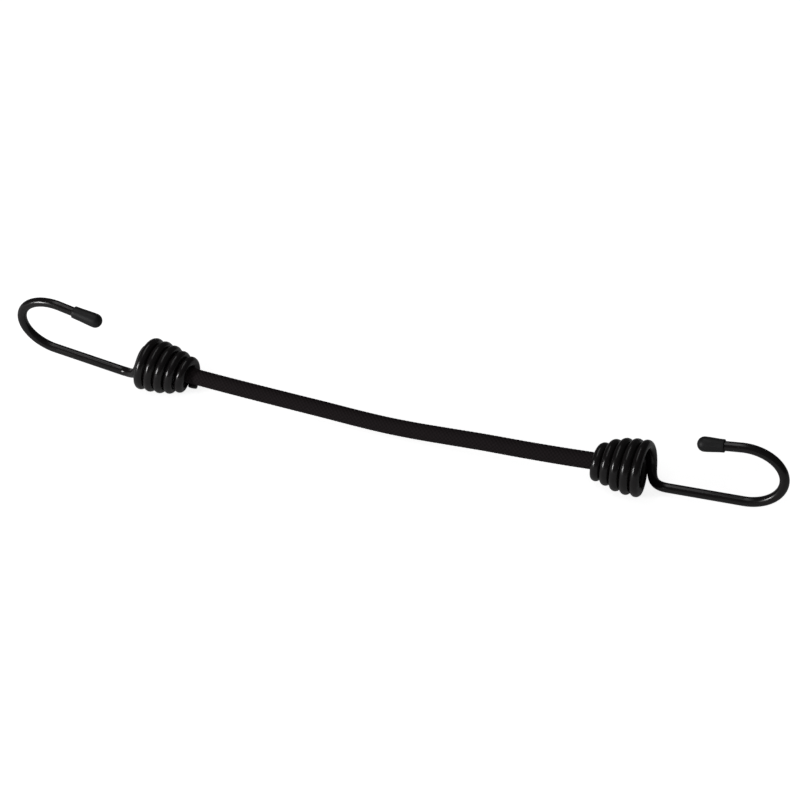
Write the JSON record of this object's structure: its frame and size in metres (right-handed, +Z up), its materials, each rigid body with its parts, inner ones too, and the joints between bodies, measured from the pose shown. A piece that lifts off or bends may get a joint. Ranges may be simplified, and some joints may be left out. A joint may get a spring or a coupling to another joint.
{
  "type": "bungee cord",
  "caption": "Short elastic cord in a braided sleeve, with a coated wire hook wound on each end as a tapered coil and a soft cap on each hook's tip.",
  "frame": {"origin": "middle of the cord's length, on the surface that the coils' wide turns stand on", "axes": "+X along the cord towards the right hook, +Z up through the hooks' tips, +Y across the hooks"},
  "size_m": [0.2528, 0.0176, 0.0267],
  "materials": {
    "coated_wire": "steel wire in a smooth glossy black coat",
    "cap_vinyl": "soft black vinyl, satin",
    "braided_sleeve": "black polyester yarn, tightly braided, matt",
    "rubber_core": "extruded natural rubber",
    "crimp_steel": "zinc plated steel strip"
  },
  "bodies": {
    "cord": {"cord_sleeve": "braided_sleeve", "rubber_strand_01": "rubber_core", "rubber_strand_02": "rubber_core", "rubber_strand_03": "rubber_core", "rubber_strand_04": "rubber_core", "rubber_strand_05": "rubber_core", "rubber_strand_06": "rubber_core", "rubber_strand_07": "rubber_core", "rubber_strand_08": "rubber_core", "rubber_strand_09": "rubber_core", "rubber_strand_10": "rubber_core", "rubber_strand_11": "rubber_core", "rubber_strand_12": "rubber_core", "rubber_strand_13": "rubber_core", "rubber_strand_14": "rubber_core", "rubber_strand_15": "rubber_core", "rubber_strand_16": "rubber_core", "rubber_strand_17": "rubber_core", "rubber_strand_18": "rubber_core", "rubber_strand_19": "rubber_core"},
    "left_cord_end": {"left_crimp": "crimp_steel"},
    "left_hook_body": {"left_hook": "coated_wire", "left_tip_cap": "cap_vinyl"},
    "right_cord_end": {"right_crimp": "crimp_steel"},
    "right_hook_body": {"right_hook": "coated_wire", "right_tip_cap": "cap_vinyl"}
  },
  "joints": [
    {"name": "cord_bend", "type": "hinge", "parent": "cord", "child": "left_cord_end", "pos_m": [-0.036, 0, 0.0057], "axis": [0, 0, 1], "range_deg": [-90, 90], "stiffness_Nm_per_rad": 0.005, "deforming": ["cord_sleeve", "rubber_strand_01", "rubber_strand_02", "rubber_strand_03", "rubber_strand_04", "rubber_strand_05", "rubber_strand_06", "rubber_strand_07", "rubber_strand_08", "rubber_strand_09", "rubber_strand_10", "rubber_strand_11", "rubber_strand_12", "rubber_strand_13", "rubber_strand_14", "rubber_strand_15", "rubber_strand_16", "rubber_strand_17", "rubber_strand_18", "rubber_strand_19"]},
    {"name": "left_hook_swivel", "type": "hinge", "parent": "left_cord_end", "child": "left_hook_body", "pos_m": [-0.08448, 0, 0.00861], "axis": [-0.9968, 0, 0.0802], "continuous": true},
    {"name": "cord_stretch", "type": "slide", "parent": "cord", "child": "right_cord_end", "axis": [1, 0, 0], "range_m": [0, 0.1], "stiffness_N_per_m": 350, "deforming": ["cord_sleeve", "rubber_strand_01", "rubber_strand_02", "rubber_strand_03", "rubber_strand_04", "rubber_strand_05", "rubber_strand_06", "rubber_strand_07", "rubber_strand_08", "rubber_strand_09", "rubber_strand_10", "rubber_strand_11", "rubber_strand_12", "rubber_strand_13", "rubber_strand_14", "rubber_strand_15", "rubber_strand_16", "rubber_strand_17", "rubber_strand_18", "rubber_strand_19"]},
    {"name": "right_hook_swivel", "type": "hinge", "parent": "right_cord_end", "child": "right_hook_body", "pos_m": [0.08349, 0, 0.00851], "axis": [0.9981, 0, 0.061], "continuous": true}
  ]
}
